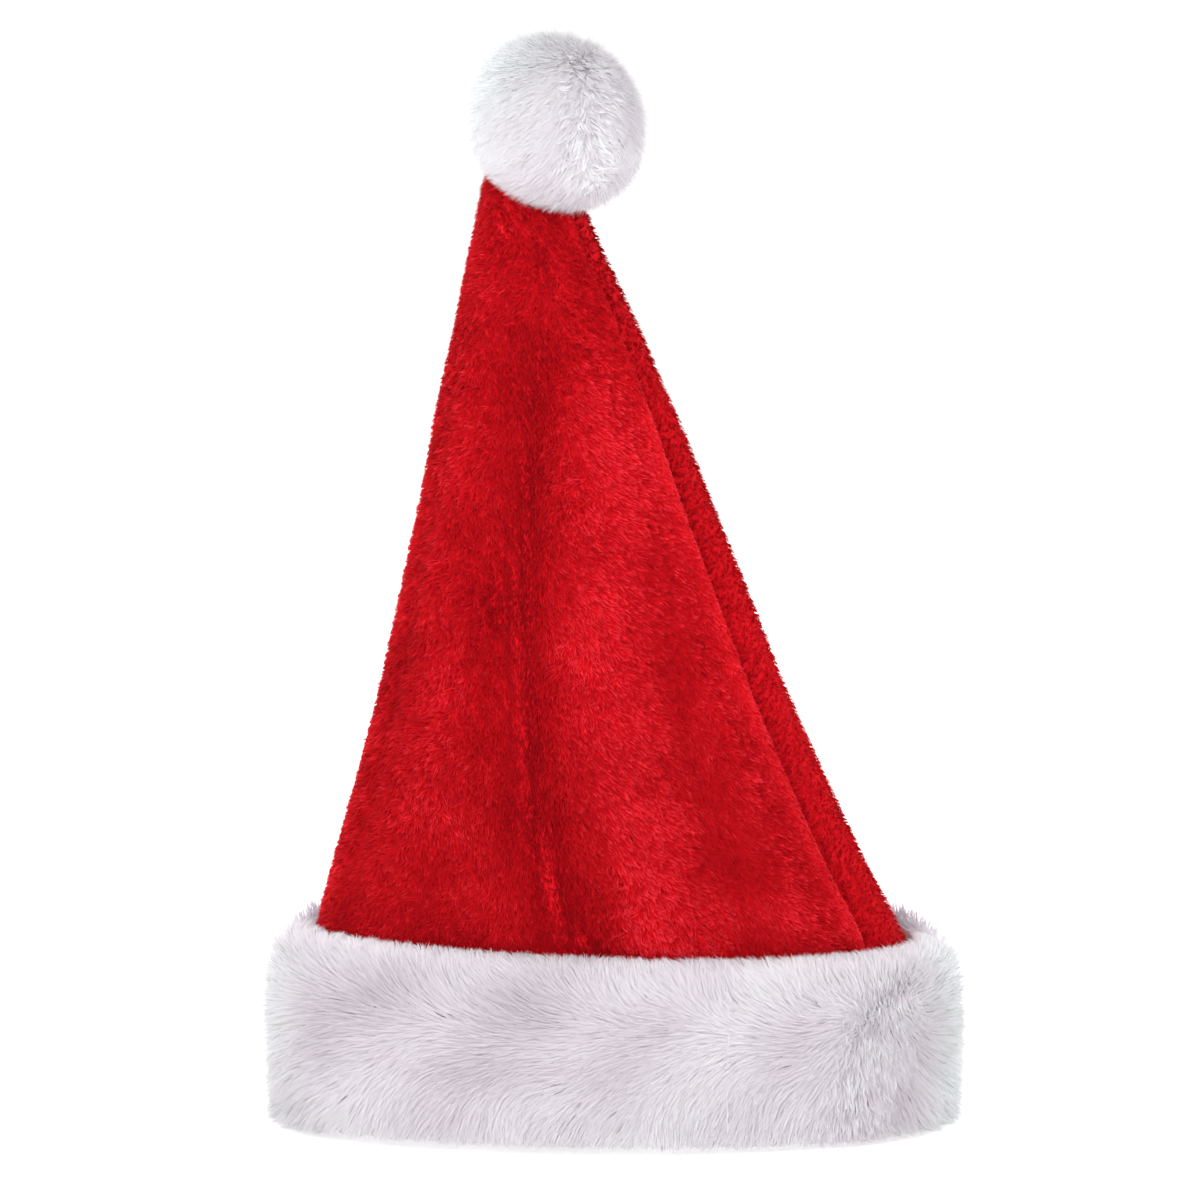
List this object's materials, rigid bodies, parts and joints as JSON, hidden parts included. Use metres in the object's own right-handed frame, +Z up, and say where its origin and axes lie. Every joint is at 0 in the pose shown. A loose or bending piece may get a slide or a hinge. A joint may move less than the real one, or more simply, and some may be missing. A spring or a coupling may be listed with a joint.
{
  "type": "santa hat",
  "caption": "Tall red plush cone hat leaning slightly to one side, with a broad white fur band round its opening and a white fur pompom on its tip.",
  "frame": {"origin": "middle of the band's underside, where the hat stands, at the middle of its width and depth", "axes": "+Z up through the cone, -Y towards the front of the hat, +X to the right as seen from the front"},
  "size_m": [0.2984, 0.1479, 0.4629],
  "materials": {
    "red_plush": "short-pile red plush with a soft sheen",
    "white_fur": "long-pile white artificial fur"
  },
  "bodies": {
    "root": {"crown_front_panel": "red_plush", "crown_back_panel": "red_plush", "fur_band": "white_fur", "pompom": "white_fur"}
  },
  "joints": []
}
